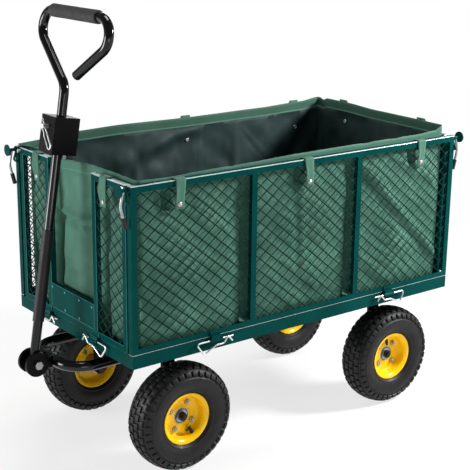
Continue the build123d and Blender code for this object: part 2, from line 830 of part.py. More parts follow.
clevis = clevis - rod_y(bow_radius + fit_gap, bow_x, (-2 * ear_outer, 2 * ear_outer), pivot_height)
clevis = clevis - rod_y(pivot_bolt_radius + fit_gap, pivot_x, (-2 * ear_outer, 2 * ear_outer), pivot_height)
save("clevis", clevis)
bolt_end = ear_outer + pivot_nut_height + pivot_bolt_end
bolt = rod_y(pivot_bolt_radius, pivot_x, (-ear_outer, bolt_end), pivot_height)
head = Pos(pivot_x, -ear_outer, pivot_height) * Rot(90, 0, 0) * hexagon(pivot_hex, pivot_nut_height)
nut = Pos(pivot_x, ear_outer, pivot_height) * Rot(-90, 0, 0) * hexagon(pivot_hex, pivot_nut_height)
nut = nut - rod_y(pivot_bolt_radius + fit_gap, pivot_x, (0, bolt_end + 1), pivot_height)
save("pivot_bolt", bolt + head, nut)

# Tow handle, drawn upright over its pivot and then leaned back
handle_place = Pos(pivot_x, 0, pivot_height) * Rot(0, pole_lean, 0)
foot = rod_y(foot_radius, 0, (-foot_half_width, foot_half_width), 0)
pole = foot + rod_z(pole_radius, 0, 0, (0, pole_split))
pole = pole - rod_z(pole_radius - pole_wall, 0, 0, (foot_radius + pole_wall, pole_split))
pole = pole - rod_y(pivot_bolt_radius + running_gap, 0, (-ear_outer, ear_outer), 0)
save("lower_pole", handle_place * pole)
sleeve = rod_z(sleeve_radius, 0, 0, (sleeve_start, sleeve_end))
sleeve = sleeve - rod_z(pole_radius + fit_gap, 0, 0, (sleeve_start, sleeve_end))
save("pole_sleeve", handle_place * sleeve)

box_end = box_start + box_height
hitch_bore = rod_x(hitch_pin_radius + fit_gap, (-box_depth, box_depth), 0, hitch_pin_height)
hitch_box = block(
    (-box_depth / 2, box_depth / 2), (-box_width / 2, box_width / 2), (box_start, box_end)
)
hitch_box = hitch_box - block(
    (box_wall - box_depth / 2, box_depth / 2 - box_wall),
    (box_wall - box_width / 2, box_width / 2 - box_wall),
    (box_start + box_wall, box_end - box_wall),
)
hitch_box = hitch_box - rod_z(pole_radius + fit_gap, 0, 0, (box_start, box_end)) - hitch_bore
save("hitch_box", handle_place * hitch_box)

upper_start = (0, 0, pole_split + pole_split_gap)
handle_path = FilletPolyline(
    upper_start,
    (0, 0, handle_bend),
    (0, handle_far_corner, handle_top),
    (0, -handle_near_corner, handle_top),
    (0, -handle_tip_side, handle_tip_along),
    radius=[handle_neck_bend, handle_corner_bend, handle_corner_bend],
)
upper_handle = tube(handle_path, upper_start, (0, 0, 1), pole_radius, pole_wall) - hitch_bore
save("upper_handle", handle_place * upper_handle)
grip_limits = (grip_centre - grip_length / 2, grip_centre + grip_length / 2)
grip = rod_y(grip_radius, 0, grip_limits, handle_top)
grip = grip - rod_y(pole_radius + fit_gap, 0, grip_limits, handle_top)
save("handle_grip", handle_place * grip)

# Hitch pin through the box, with its spring clip on the front
box_front = -box_depth / 2
box_back = box_depth / 2
hitch_pin = rod_x(hitch_pin_radius, (box_front - hitch_pin_front, box_back), 0, hitch_pin_height)
hitch_pin = hitch_pin + rod_x(hitch_head_radius, (box_back, box_back + hitch_pin_rear), 0, hitch_pin_height)
clip_x = box_front - hitch_pin_front / 2
clip_turn = radians(clip_lean)


def on_clip(along, aside):
    """Point on the clip: along its straight leg from the hitch pin, and to one side of it."""
    y = aside * cos(clip_turn) - along * sin(clip_turn)
    z = -along * cos(clip_turn) - aside * sin(clip_turn)
    return (clip_x, y, hitch_pin_height + z)


clip_points = [
    on_clip(-clip_above, 0),
    on_clip(clip_below, 0),
    on_clip(clip_below, clip_width),
    on_clip(clip_kink_place, clip_width),
    on_clip(clip_kink_place - clip_kink_length, clip_width - clip_kink_in),
    on_clip(-clip_tip, clip_width),
]
clip_bends = [clip_bend, clip_bend, clip_kink_bend, clip_kink_bend]
clip_path = FilletPolyline(*clip_points, radius=clip_bends)
clip_heading = Vector(*clip_points[1]) - Vector(*clip_points[0])
clip = wire(clip_path, clip_points[0], clip_heading, clip_radius)
clip_hole = wire(Line(clip_points[0], clip_points[1]), clip_points[0], clip_heading, clip_radius + fit_gap)
save("hitch_pin", handle_place * (hitch_pin - clip_hole), handle_place * clip)
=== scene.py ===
import json
import math
import bmesh
import bpy
from mathutils import Matrix, Quaternion, Vector, noise

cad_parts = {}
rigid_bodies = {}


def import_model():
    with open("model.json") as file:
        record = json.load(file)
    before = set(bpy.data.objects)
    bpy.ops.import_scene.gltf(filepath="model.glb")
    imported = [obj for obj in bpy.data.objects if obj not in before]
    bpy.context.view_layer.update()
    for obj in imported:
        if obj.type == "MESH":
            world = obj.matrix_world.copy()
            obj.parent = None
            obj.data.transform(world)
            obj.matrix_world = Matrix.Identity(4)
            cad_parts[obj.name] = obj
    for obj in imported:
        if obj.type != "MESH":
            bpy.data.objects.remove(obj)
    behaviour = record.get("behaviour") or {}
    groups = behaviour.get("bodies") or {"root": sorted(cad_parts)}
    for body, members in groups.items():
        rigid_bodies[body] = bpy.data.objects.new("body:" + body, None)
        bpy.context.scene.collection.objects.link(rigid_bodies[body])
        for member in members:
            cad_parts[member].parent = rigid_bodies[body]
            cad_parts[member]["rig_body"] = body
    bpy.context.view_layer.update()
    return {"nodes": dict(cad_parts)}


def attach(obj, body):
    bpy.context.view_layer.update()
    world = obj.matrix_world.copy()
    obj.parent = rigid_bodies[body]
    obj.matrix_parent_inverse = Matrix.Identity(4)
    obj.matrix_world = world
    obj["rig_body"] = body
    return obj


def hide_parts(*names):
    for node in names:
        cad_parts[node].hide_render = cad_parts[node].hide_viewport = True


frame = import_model()

# The bed: a frame of folded sheet steel with cross rails and hinge lugs welded to it, a flat floor
# laid in and the upper turntable plate below. All of it is sprayed in one coat of dark green gloss
# with a slight orange peel; its rounded corners take a lighter green as painted highlight.
bed_nodes = ["bed_frame", "bed_floor", "turntable_top"]


def new_finish(name):
    """Empty material with its shader and its Object coordinates."""
    finish = bpy.data.materials.new(name)
    finish.use_nodes = True
    tree = finish.node_tree
    shader = tree.nodes["Principled BSDF"]
    return finish, tree, shader, tree.nodes.new("ShaderNodeTexCoord").outputs["Object"]


def grain(tree, place, scale, detail=2.0, stretch=(1, 1, 1)):
    """Soft noise at so many grains to the metre."""
    turn = tree.nodes.new("ShaderNodeMapping")
    turn.inputs["Scale"].default_value = stretch
    tree.links.new(place, turn.inputs["Vector"])
    cloud = tree.nodes.new("ShaderNodeTexNoise")
    cloud.inputs["Scale"].default_value = scale
    cloud.inputs["Detail"].default_value = detail
    tree.links.new(turn.outputs["Vector"], cloud.inputs["Vector"])
    return cloud.outputs["Fac"]


grain_low = 0.3
grain_high = 0.7


def between(tree, amount, low, high):
    """Number from low to high as the noise goes over its middle range."""
    spread = tree.nodes.new("ShaderNodeMapRange")
    spread.inputs["From Min"].default_value = grain_low
    spread.inputs["From Max"].default_value = grain_high
    spread.inputs["To Min"].default_value = low
    spread.inputs["To Max"].default_value = high
    tree.links.new(amount, spread.inputs["Value"])
    return spread.outputs["Result"]


def shade(tree, amount, dark, light):
    """Colour between two tones."""
    ramp = tree.nodes.new("ShaderNodeValToRGB")
    ramp.color_ramp.elements[0].position = grain_low
    ramp.color_ramp.elements[0].color = (*dark, 1)
    ramp.color_ramp.elements[1].position = grain_high
    ramp.color_ramp.elements[1].color = (*light, 1)
    tree.links.new(amount, ramp.inputs["Fac"])
    return ramp.outputs["Color"]


def relief(tree, amount, strength, depth):
    """Normal roughened by a height of so many metres."""
    bump = tree.nodes.new("ShaderNodeBump")
    bump.inputs["Strength"].default_value = strength
    bump.inputs["Distance"].default_value = depth
    tree.links.new(amount, bump.inputs["Height"])
    return bump.outputs["Normal"]


def sprayed(name, dark, light, smooth, dull, shine):
    """Sprayed paint with uneven tone, uneven roughness and a fine orange peel."""
    finish, tree, paint, place = new_finish(name)
    tree.links.new(shade(tree, grain(tree, place, 14, 4), dark, light), paint.inputs["Base Color"])
    patchy = between(tree, grain(tree, place, 45, 5), smooth, dull)
    tree.links.new(patchy, paint.inputs["Roughness"])
    tree.links.new(relief(tree, grain(tree, place, 420), 0.05, 0.0006), paint.inputs["Normal"])
    paint.inputs["Specular IOR Level"].default_value = shine
    return finish


green_gloss = sprayed(
    "green_gloss", (0.0008, 0.038, 0.034), (0.0014, 0.049, 0.045), 0.16, 0.24, 0.015
)
# A much lighter green for rounded corners: painted highlight, standing in for the light edges
# catch.
edge_highlight_green = sprayed("edge_highlight_green", (0.012, 0.160, 0.148), (0.025, 0.220, 0.205), 0.18, 0.28, 0.45)


def make_piece(work, name, body, finishes, crease=38.0):
    """Turns a finished bmesh into an object on a body, shaded smooth up to a crease angle."""
    for face in work.faces:
        face.smooth = True
    for edge in work.edges:
        edge.smooth = len(edge.link_faces) != 2 or edge.calc_face_angle(0) < math.radians(crease)
    mesh = bpy.data.meshes.new(name)
    work.to_mesh(mesh)
    work.free()
    for finish in finishes:
        mesh.materials.append(finish)
    piece = bpy.data.objects.new(name, mesh)
    bpy.context.scene.collection.objects.link(piece)
    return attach(piece, body)


def stand_in(piece, *nodes):
    """Lets a piece stand for CAD nodes, which it hides."""
    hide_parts(*nodes)
    return piece


def round_off(work, edges, size, steps):
    """Rounds some edges and gives what is new."""
    return bmesh.ops.bevel(
        work, geom=edges, offset=size, offset_type="OFFSET", segments=steps, profile=0.5,
        affect="EDGES", material=-1, clamp_overlap=True,
    )


def sharp_edges(work):
    """Edges where two faces meet at a corner."""
    pairs = [e for e in work.edges if len(e.link_faces) == 2]
    return [e for e in pairs if e.calc_face_angle(0) > math.radians(38)]


bed_middle = 0.054
rail_top = 0.71
panel_foot = 0.331
side_reach = 0.25
crest_round = 0.0019


def on_crest(edge):
    """Whether an edge is the outer one of a panel's top, or of a side panel's foot."""
    upright, level = sorted(edge.link_faces, key=lambda face: abs(face.normal.z))
    middle = (edge.verts[0].co + edge.verts[1].co) / 2 - Vector((bed_middle, 0, 0))
    out = Vector((middle.x, middle.y, 0))
    if abs(level.normal.z) < 0.9 or abs(upright.normal.z) > 0.1 or upright.normal.dot(out) < 0:
        return False
    side_foot = abs(middle.z - panel_foot) < 0.001 and abs(middle.y) > side_reach
    return middle.z > rail_top or side_foot


def dress(node, finish, edge=0.0008, steps=2, rim=None, crest=None):
    """Copy of a CAD node with its corners rounded, the crests more; rim and crest finishes are
    painted highlight.
    """
    work = bmesh.new()
    work.from_mesh(frame["nodes"][node].data)
    bmesh.ops.remove_doubles(work, verts=work.verts, dist=1e-6)
    flat = math.radians(0.5)
    bmesh.ops.dissolve_limit(work, angle_limit=flat, verts=work.verts, edges=work.edges)
    finishes = [finish] + [extra for extra in (rim, crest) if extra]
    if crest:
        crests = [e for e in sharp_edges(work) if on_crest(e)]
        for face in round_off(work, crests, crest_round, 3)["faces"]:
            face.material_index = 2
    for face in round_off(work, sharp_edges(work), edge, steps)["faces"]:
        if face.material_index == 0 and rim:
            face.material_index = 1
    piece = make_piece(work, node + "_coated", frame["nodes"][node]["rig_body"], finishes)
    weighted = piece.modifiers.new("flats", "WEIGHTED_NORMAL")
    weighted.keep_sharp = True
    return stand_in(piece, node)


for node in bed_nodes:
    dress(node, green_gloss, 0.0012, 2, edge_highlight_green)

# Under the bed: the front beam and the rear brackets with their uprights, the lower turntable
# plate, the bowed draw bar and its clevis, cut and welded from thick steel and sprayed black.
black_dark = (0.0018, 0.0018, 0.0022)
black_light = (0.0036, 0.0036, 0.0041)
black_gloss = sprayed("black_gloss", black_dark, black_light, 0.08, 0.16, 0.34)
black_satin = sprayed("black_satin", black_dark, black_light, 0.22, 0.34, 0.08)
for node in ["rear_axle_brackets", "axle_beam", "turntable_bottom", "clevis"]:
    dress(node, black_satin, 0.0012)
dress("drawbar_bow", black_gloss, 0.0012)

# The bright work: wire lock pins, keeper studs and the hitch pin with its clip, all of plain steel
# with a bright zinc plating. The rivets low on the front panel are painted over in green, in the
# lighter edge green that is painted highlight, and the kingpin and the pivot bolt have gone dull.
rivet_top = 0.5


def plated(name, dark, light, smooth, dull):
    """Metal plating with cloudy tone and fine drawn marks."""
    finish, tree, metal, place = new_finish(name)
    tree.links.new(shade(tree, grain(tree, place, 160, 4), dark, light), metal.inputs["Base Color"])
    patchy = between(tree, grain(tree, place, 260, 4), smooth, dull)
    tree.links.new(patchy, metal.inputs["Roughness"])
    drawn = grain(tree, place, 900, 2, (1, 1, 0.2))
    tree.links.new(relief(tree, drawn, 0.1, 0.0003), metal.inputs["Normal"])
    metal.inputs["Metallic"].default_value = 1.0
    return finish


zinc = plated("zinc", (0.62, 0.63, 0.64), (0.86, 0.87, 0.88), 0.3, 0.46)
dull_zinc = plated("dull_zinc", (0.27, 0.27, 0.28), (0.46, 0.46, 0.47), 0.32, 0.5)
for node in ["wire_pins", "rear_keepers", "hitch_pin"]:
    dress(node, zinc, 0.0004)
riveted = dress("front_fasteners", zinc, 0.0004)
# The rivet heads take the lighter edge green, as painted highlight.
riveted.data.materials.append(edge_highlight_green)
for face in riveted.data.polygons:
    face.material_index = 1 if face.center.z < rivet_top else 0
for node in ["kingpin", "pivot_bolt"]:
    dress(node, dull_zinc, 0.0004)

# The four stub axles, two to a node, with their collars and end nuts, are blackened steel, and the
# thrust ring of the turntable is a pale plastic washer.
dark_steel = plated("dark_steel", (0.02, 0.02, 0.022), (0.045, 0.045, 0.048), 0.35, 0.55)
for node in ["front_axle", "rear_axle"]:
    dress(node, dark_steel, 0.0005)
pale_plastic = sprayed("pale_plastic", (0.6, 0.6, 0.56), (0.68, 0.68, 0.64), 0.4, 0.55, 0.4)
dress("thrust_ring", pale_plastic, 0.0004)

# Four air-filled tyres of black rubber, moulded with staggered tread blocks, shoulder lugs and two
# raised rings on the wall, each with the rubber foot and brass stem of its valve.
wheel_places = {
    "front_left": (-0.279, -0.205, 180, 0), "front_right": (-0.279, 0.205, 0, 0),
    "rear_left": (0.387, -0.205, 180, 164), "rear_right": (0.387, 0.205, 0, 164),
}
axle_height = 0.13
valve_turn = 118
tread_columns = 152
tread_foot = 0.1075
tyre_half = [
    (0.0600, 0.0255), (0.0640, 0.0270), (0.0655, 0.0300), (0.0680, 0.0322), (0.0700, 0.0350),
    (0.0715, 0.0352), (0.0725, 0.0348), (0.0800, 0.0388), (0.0880, 0.0406), (0.0950, 0.0408),
    (0.1000, 0.0402), (0.1012, 0.0408), (0.1030, 0.0405), (0.1040, 0.0394), (0.1075, 0.0382),
    (0.1185, 0.0325), (0.1200, 0.0305), (0.1213, 0.0285), (0.1242, 0.0180), (0.1250, 0.0140),
    (0.1262, 0.0020),
]
tread_rows = [(0.0382, 0.0325, 0), (0.0285, 0.0180, 2), (0.0140, 0.0020, 0)]


def outline(work, points, close=False):
    """Chain of edges through (radius, y) points in the plane of the wheel's axis."""
    verts = [work.verts.new((r, y, 0)) for r, y in points]
    ends = verts[1:] + verts[:1] if close else verts[1:]
    return [work.edges.new(pair) for pair in zip(verts, ends)]


def turn_round(work, edges, steps):
    """Full turn of a chain of edges about the Y axis, with its normals set outwards."""
    verts = list(dict.fromkeys(v for e in edges for v in e.verts))
    bmesh.ops.spin(
        work, geom=verts + edges, axis=(0, 1, 0), cent=(0, 0, 0), steps=steps, angle=math.tau,
        use_merge=True,
    )
    bmesh.ops.remove_doubles(work, verts=work.verts, dist=1e-6)
    bmesh.ops.recalc_face_normals(work, faces=work.faces)


def wheel_matrix(corner):
    """Place of a wheel, with the roll it has come to rest at."""
    x, y, turn, roll = wheel_places[corner]
    round_z = Matrix.Rotation(math.radians(turn), 4, "Z")
    round_axle = Matrix.Rotation(math.radians(roll), 4, "Y")
    return Matrix.Translation((x, y, axle_height)) @ round_z @ round_axle


def make_tyre(corner):
    """Plain tyre turned from its outline, with its tread blocks raised out of it."""
    work = bmesh.new()
    mirrored = [(r, -y) for r, y in reversed(tyre_half)]
    turn_round(work, outline(work, tyre_half + mirrored, close=True), tread_columns)
    blocks = []
    for face in work.faces:
        middle = face.calc_center_median()
        column = int((math.atan2(middle.z, middle.x) / math.tau % 1) * tread_columns)
        reach = math.hypot(middle.x, middle.z)
        for wide, narrow, shift in tread_rows:
            stagger = shift + (2 if middle.y < 0 else 0)
            if reach > tread_foot and narrow < abs(middle.y) < wide and (column + stagger) % 4 < 3:
                blocks.append(face)
    bmesh.ops.inset_region(work, faces=blocks, thickness=0.0007, depth=0.0036, use_even_offset=True)
    bmesh.ops.inset_region(work, faces=blocks, thickness=0.0009, depth=0.0004, use_even_offset=True)
    work.transform(wheel_matrix(corner))
    return work


rubber, tree, skin, place = new_finish("rubber")
tone = shade(tree, grain(tree, place, 30, 5), (0.0040, 0.0040, 0.0045), (0.0085, 0.0085, 0.0092))
tree.links.new(tone, skin.inputs["Base Color"])
tree.links.new(between(tree, grain(tree, place, 70, 5), 0.42, 0.6), skin.inputs["Roughness"])
tree.links.new(relief(tree, grain(tree, place, 700, 3), 0.25, 0.0006), skin.inputs["Normal"])
skin.inputs["Specular IOR Level"].default_value = 0.3
brass = plated("brass", (0.5, 0.36, 0.14), (0.72, 0.55, 0.26), 0.25, 0.4)
valve_half = [
    (0.0001, 0.022), (0.0022, 0.022), (0.0028, 0.0205), (0.0030, 0.016), (0.0036, 0.0155),
    (0.0042, 0.009), (0.0044, 0.002), (0.0055, 0.0), (0.0055, -0.001), (0.0001, -0.001),
]
for corner in wheel_places:
    body = corner + "_wheel"
    tyre = make_piece(make_tyre(corner), corner + "_tread", body, [rubber], 30)
    stand_in(tyre, corner + "_tyre")
    stem = bmesh.new()
    turn_round(stem, outline(stem, valve_half), 16)
    for face in stem.faces:
        face.material_index = 1 if face.calc_center_median().y > 0.0185 else 0
    inward = Matrix.Translation((0.0495, 0.0145, 0)) @ Matrix.Rotation(math.radians(90), 4, "Z")
    around = Matrix.Rotation(math.radians(valve_turn), 4, "Y")
    stem.transform(wheel_matrix(corner) @ around @ inward)
    make_piece(stem, corner + "_valve", body, [rubber, brass])

# Each rim is two dished steel pressings with a rolled lip, bolted back to back and sprayed yellow.
# The outer one has a slot that lets the valve through.
rim_half = [
    (0.0600, 0.0268), (0.0622, 0.0266), (0.0634, 0.0276), (0.0630, 0.0289), (0.0614, 0.0293),
    (0.0592, 0.0286), (0.0565, 0.0266), (0.0538, 0.0246), (0.0519, 0.0218), (0.0508, 0.0180),
    (0.0502, 0.0110), (0.0496, 0.0062), (0.0480, 0.0034), (0.0455, 0.0022), (0.0400, 0.0020),
    (0.0330, 0.0020), (0.0265, 0.0024), (0.0240, 0.0036), (0.0222, 0.0046), (0.0207, 0.0048),
]
slot_near = 0.0385
slot_far = 0.0485
slot_half_turn = 8.1
yellow_gloss = sprayed("yellow_gloss", (0.86, 0.48, 0.002), (0.94, 0.56, 0.003), 0.2, 0.3, 0.25)
for corner in wheel_places:
    work = bmesh.new()
    turn_round(work, outline(work, rim_half), 90)
    slot = []
    for face in work.faces:
        middle = face.calc_center_median()
        around = math.degrees(math.atan2(-middle.z, middle.x))
        reach = math.hypot(middle.x, middle.z)
        in_web = slot_near < reach < slot_far and middle.y < 0.006
        if in_web and abs(around - valve_turn) < slot_half_turn:
            slot.append(face)
    inner = bmesh.ops.duplicate(work, geom=work.verts[:] + work.edges[:] + work.faces[:])["geom"]
    bmesh.ops.delete(work, geom=slot, context="FACES")
    inner_verts = [v for v in inner if isinstance(v, bmesh.types.BMVert)]
    bmesh.ops.scale(work, vec=(1, -1, 1), verts=inner_verts)
    bmesh.ops.recalc_face_normals(work, faces=work.faces)
    work.transform(wheel_matrix(corner))
    rim = make_piece(work, corner + "_dish", corner + "_wheel", [yellow_gloss], 50)
    wall = rim.modifiers.new("sheet", "SOLIDIFY")
    wall.thickness = 0.0018
    wall.offset = -1
    stand_in(rim, corner + "_rim")

# The hubs: a steel sleeve with a ball bearing pressed into each end, and the bolts that hold the
# two rim pressings together. The bearings show a pale shield between a dark middle and a narrow
# dark ring, which is painted shadow for the gap round the shield.
bearing_half = [
    (0.0076, -0.004), (0.0076, 0.0058), (0.0098, 0.0060), (0.0104, 0.0052), (0.0150, 0.0050),
    (0.0164, 0.0056), (0.0170, 0.0045), (0.0176, 0.0045), (0.0182, 0.0056), (0.0202, 0.0052),
    (0.0206, 0.0044), (0.0206, -0.0425), (0.0076, -0.0425),
]
bolt_circle = 0.035
first_bolt = 60


def add_bolt_end(work, seat):
    """Hexagonal head with the end of its bolt standing out, put where a matrix says."""
    head = bmesh.ops.create_cone(
        work, cap_ends=True, segments=6, radius1=0.0072, radius2=0.0072, depth=0.0048
    )["verts"]
    flat_edges = dict.fromkeys(e for v in head for e in v.link_edges)
    flat_edges = [e for e in flat_edges if abs(e.verts[0].co.z - e.verts[1].co.z) < 1e-6]
    rounded = round_off(work, flat_edges, 0.0011, 3)["verts"]
    shank = bmesh.ops.create_cone(
        work, cap_ends=True, segments=18, radius1=0.0038, radius2=0.0034, depth=0.003
    )["verts"]
    bmesh.ops.translate(work, verts=shank, vec=(0, 0, 0.0035))
    bolt = dict.fromkeys([v for v in head if v.is_valid] + rounded + shank)
    bmesh.ops.transform(work, matrix=seat, verts=list(bolt))


for corner in wheel_places:
    work = bmesh.new()
    turn_round(work, outline(work, bearing_half, close=True), 48)
    for face in work.faces:
        middle = face.calc_center_median()
        reach = math.hypot(middle.x, middle.z)
        # The ring from 0.0166 to 0.0178 is left dark as painted shadow of the gap round the shield.
        shielded = 0.0100 < reach < 0.0166 or reach > 0.0178
        face.material_index = 0 if shielded or middle.y < 0.004 else 1
    for quarter in range(4):
        for side in (1, -1):
            around = Matrix.Rotation(math.radians(first_bolt + 90 * quarter), 4, "Y")
            upright = Matrix.Rotation(math.radians(-90 * side), 4, "X")
            seat = Matrix.Translation((bolt_circle, side * 0.0046, 0))
            add_bolt_end(work, around @ seat @ upright)
    work.transform(wheel_matrix(corner))
    name = corner + "_bearing_and_bolts"
    hub = make_piece(work, name, corner + "_wheel", [dull_zinc, dark_steel])
    stand_in(hub, corner + "_hub")

# The four folding panels: frames of folded channel steel, sprayed green, with hinge knuckles at the
# foot. The front one is notched for the handle and has a plate riveted across the notch. Their
# rounded corners take the lighter edge green, and the outer edges of the top rails and of the side
# panels' feet a pale grey-green; both are painted highlight.
crest_highlight_paint = sprayed("crest_highlight_paint", (0.34, 0.42, 0.42), (0.46, 0.54, 0.54), 0.2, 0.3, 0.5)
for node in ["left_frame", "right_frame", "front_frame", "rear_frame", "front_plate"]:
    dress(node, green_gloss, 0.0009, 2, edge_highlight_green, crest_highlight_paint)

# The mesh in the panels is expanded steel: one sheet slit and pulled open into diamonds, so that
# its strands run up and down through the sheet's plane. It is welded behind the frames.
net_run = 0.018
net_rise = 0.0145
net_lap = 0.0025
net_wave = 0.0006
window_height = 0.351
window_middle = 0.5215


def make_net(width, height):
    """Diamond net in the XZ plane, trimmed to a window and lapped behind its frame."""
    net = bmesh.new()
    count = int(max(width / net_run, height / net_rise)) + 4
    count += count % 2
    made = bmesh.ops.create_grid(net, x_segments=count, y_segments=count, size=count / 2)["verts"]
    lattice = Matrix((
        (net_run, -net_run, 0, 0), (0, 0, 1, 0), (net_rise, net_rise, 0, 0), (0, 0, 0, 1)
    ))
    bmesh.ops.transform(net, matrix=lattice, verts=made)
    limits = Vector((width / 2 + net_lap, 1, height / 2 + net_lap))
    far = []
    for face in net.faces:
        middle = face.calc_center_median()
        if abs(middle.x) > limits.x + net_run * 1.5 or abs(middle.z) > limits.z + net_rise * 1.5:
            far.append(face)
    bmesh.ops.delete(net, geom=far, context="FACES")
    bmesh.ops.wireframe(
        net, faces=net.faces, thickness=0.0030, use_replace=True, use_boundary=True,
        use_even_offset=True,
    )
    bmesh.ops.scale(net, vec=(1, 0.5, 1), verts=net.verts)
    for axis in (0, 2):
        for sign in (1, -1):
            normal = Vector((0, 0, 0))
            normal[axis] = sign
            everything = net.verts[:] + net.edges[:] + net.faces[:]
            bmesh.ops.bisect_plane(
                net, geom=everything, plane_co=normal * limits[axis], plane_no=normal,
                clear_outer=True,
            )
    bmesh.ops.holes_fill(net, edges=[e for e in net.edges if len(e.link_faces) == 1], sides=0)
    for vert in net.verts:
        cells = vert.co.x / net_run + vert.co.z / net_rise
        vert.co.y += net_wave * math.sin(math.pi * cells)
    return net


def gather(whole, part):
    """Adds one bmesh to another and lets go of it."""
    mesh = bpy.data.meshes.new("part")
    part.to_mesh(mesh)
    part.free()
    whole.from_mesh(mesh)
    bpy.data.meshes.remove(mesh)


def round_bed(turn):
    """Turn about the middle of the bed, which takes the left panel's place to another's."""
    return Matrix.Translation((bed_middle, 0, 0)) @ Matrix.Rotation(math.radians(turn), 4, "Z")


# The strands take a darker copy of the frames' green: painted shade for their shadows on each
# other.
net_green_shaded = sprayed("net_green_shaded", (0.0006, 0.015, 0.0135), (0.0012, 0.024, 0.0215), 0.4, 0.55, 0.04)
side_windows = [-0.32567, 0.0, 0.32567]
panel_nets = {
    "left": (0.31067, side_windows, 0.2556, 0),
    "right": (0.31067, side_windows, 0.2556, 180),
    "front": (0.1089, [-0.16745, 0.16745], 0.4926, -90),
    "rear": (0.2144, [-0.1147, 0.1147], 0.4926, 90),
}
for panel, (width, centres, reach, turn) in panel_nets.items():
    work = bmesh.new()
    for centre in centres:
        net = make_net(width, window_height)
        net.transform(Matrix.Translation((centre, -reach, window_middle)))
        gather(work, net)
    work.transform(round_bed(turn))
    stand_in(make_piece(work, panel + "_net", panel + "_panel", [net_green_shaded], 50), panel + "_mesh")

# The corner latches: a green rod and disc with a bent lever of zinc-plated wire, whose tip is
# dipped in black vinyl. The lever is told from the rod and the disc by its place.
lever_near = 0.5003
lever_far = 0.5199
lever_top = 0.6995
black_vinyl = sprayed("black_vinyl", (0.006, 0.006, 0.007), (0.011, 0.011, 0.012), 0.4, 0.55, 0.3)
for corner in wheel_places:
    latch = dress(corner + "_latch", green_gloss, 0.0005)
    latch.data.materials.append(dull_zinc)
    for face in latch.data.polygons:
        out = abs(face.center.x - bed_middle)
        on_lever = lever_near < out < lever_far and face.center.z < lever_top
        face.material_index = 1 if on_lever else 0
    dress(corner + "_latch_grip", black_vinyl, 0.0012, 3)

# The tow handle: a pole of black gloss tube on its pivot, a welded hitch box, and an upper tube
# bent into an open loop. A plain dull sleeve is shrunk on the pole above the foot.
for node in ["lower_pole", "upper_handle"]:
    dress(node, black_gloss, 0.001)
dress("hitch_box", black_satin, 0.0015)
sleeve_black = sprayed(
    "sleeve_black", (0.006, 0.006, 0.007), (0.010, 0.010, 0.011), 0.42, 0.55, 0.25
)
dress("pole_sleeve", sleeve_black, 0.0006)

# The grip is a tube of black closed-cell foam with soft rounded ends. It is pushed onto the loop's
# top bar and held there by its own squeeze.
grip_half = [
    (0.0112, 0.0), (0.0128, 0.0), (0.0142, 0.0008), (0.0150, 0.0028), (0.01515, 0.010),
    (0.0149, 0.05), (0.0150, 0.099), (0.0149, 0.148), (0.01515, 0.188), (0.0150, 0.1952),
    (0.0142, 0.1972), (0.0128, 0.198), (0.0112, 0.198),
]
grip_end = (0, -0.111, 0.8)
pole_pivot = (-0.548, 0, 0.259)
pole_lean = 9.2
foam, tree, skin, place = new_finish("foam")
tone = shade(tree, grain(tree, place, 60, 5), (0.012, 0.012, 0.013), (0.022, 0.022, 0.023))
tree.links.new(tone, skin.inputs["Base Color"])
tree.links.new(between(tree, grain(tree, place, 300, 4), 0.7, 0.85), skin.inputs["Roughness"])
tree.links.new(relief(tree, grain(tree, place, 650, 4), 0.5, 0.0008), skin.inputs["Normal"])
along_pole = Matrix.Translation(pole_pivot) @ Matrix.Rotation(math.radians(pole_lean), 4, "Y")
work = bmesh.new()
turn_round(work, outline(work, grip_half, close=True), 48)
work.transform(along_pole @ Matrix.Translation(grip_end))
grip = stand_in(make_piece(work, "foam_grip", "handle", [foam]), "handle_grip")

# The liner: an open bag of sage green coated cloth, dark inside, that stands on the floor. Its
# walls bag out between the posts, with creases and tucks, and a doubled hem runs round the mouth,
# higher towards the back. At the front right corner the hem is drawn out over the rail.
liner_low = Vector((-0.4145, -0.2415, 0.3323))
liner_high = Vector((0.5225, 0.2415, 0.7280))
hem_depth = 0.0265
hem_start = 0.60
cloth_thickness = 0.0016
corner_round = 0.008
side_bays = [(-0.427, -0.11633), (-0.10133, 0.20933), (0.22433, 0.535)]
bays = {
    "left": side_bays, "right": side_bays,
    "front": [(-0.222, -0.113), (-0.098, 0.098), (0.113, 0.222)],
    "rear": [(-0.222, -0.0075), (0.0075, 0.222)],
}
hems = {
    "left": [
        (-0.4145, 0.7176), (-0.325, 0.7160), (-0.25, 0.7185), (-0.182, 0.7195), (-0.165, 0.7182),
        (-0.150, 0.7196), (0.05, 0.7240), (0.22, 0.7250), (0.25, 0.7236), (0.28, 0.7252),
        (0.325, 0.7255), (0.35, 0.7240), (0.375, 0.7256), (0.43, 0.7258), (0.49, 0.7290),
        (0.5225, 0.7400),
    ],
    "right": [
        (-0.4145, 0.7200), (-0.28, 0.7330), (-0.15, 0.7360), (0.05, 0.7340), (0.30, 0.7360),
        (0.45, 0.7406), (0.5225, 0.7480),
    ],
    "front": [
        (-0.2415, 0.7176), (-0.13, 0.7193), (-0.056, 0.7190), (0.018, 0.7140), (0.0825, 0.7080),
        (0.15, 0.7160), (0.2415, 0.7200),
    ],
    "rear": [
        (-0.2415, 0.7400), (-0.12, 0.7416), (0, 0.7425), (0.13, 0.7475), (0.205, 0.7478),
        (0.222, 0.7420), (0.2415, 0.7480),
    ],
}
